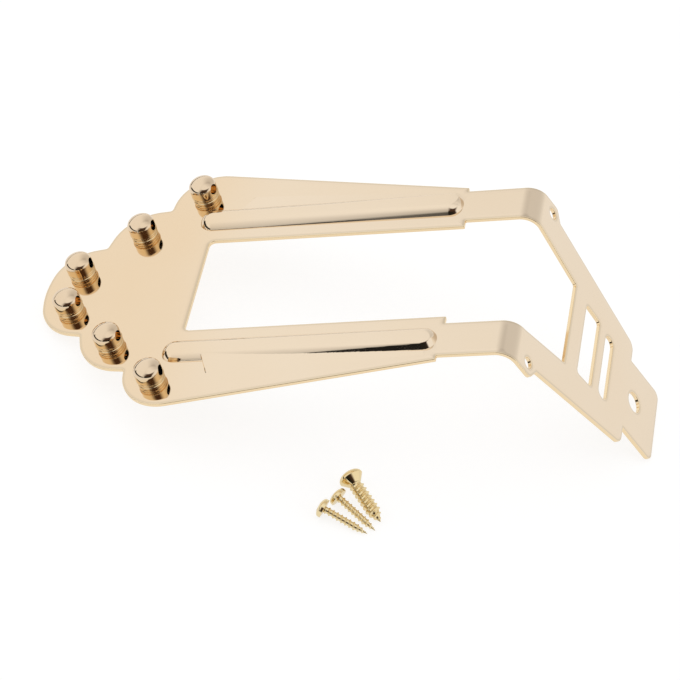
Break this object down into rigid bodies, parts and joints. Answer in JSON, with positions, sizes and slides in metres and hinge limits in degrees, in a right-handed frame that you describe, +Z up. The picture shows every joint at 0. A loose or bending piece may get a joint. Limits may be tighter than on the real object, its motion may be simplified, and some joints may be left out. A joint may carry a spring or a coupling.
{
  "type": "archtop guitar tailpiece",
  "caption": "Pressed and bent metal tailpiece with a scalloped string plate, turned string posts with a string hole through each, a slotted end bracket and loose wood screws lying beside it.",
  "frame": {"origin": "centre of the whole set's footprint, on the surface that it rests on", "axes": "+X along the tailpiece from the string posts to the end bracket, +Z up from the table"},
  "size_m": [0.1282, 0.0752, 0.0379],
  "materials": {
    "polished_plate": "polished pale gold plating on pressed sheet",
    "turned_gold": "bright gold plating on turned posts",
    "screw_gold": "bright gold plating on wood screws"
  },
  "bodies": {
    "tailpiece": {"plate": "polished_plate", "string_post_1": "turned_gold", "string_post_2": "turned_gold", "string_post_3": "turned_gold", "string_post_4": "turned_gold", "string_post_5": "turned_gold", "string_post_6": "turned_gold"},
    "large_screw": {"screw_large": "screw_gold"},
    "middle_screw": {"screw_middle": "screw_gold"},
    "small_screw": {"screw_small": "screw_gold"}
  },
  "joints": [
    {"name": "large_screw_lift", "type": "slide", "parent": "tailpiece", "child": "large_screw", "axis": [0, 0, 1], "range_m": [0, 0.04]},
    {"name": "middle_screw_lift", "type": "slide", "parent": "tailpiece", "child": "middle_screw", "axis": [0, 0, 1], "range_m": [0, 0.04]},
    {"name": "small_screw_lift", "type": "slide", "parent": "tailpiece", "child": "small_screw", "axis": [0, 0, 1], "range_m": [0, 0.04]}
  ]
}
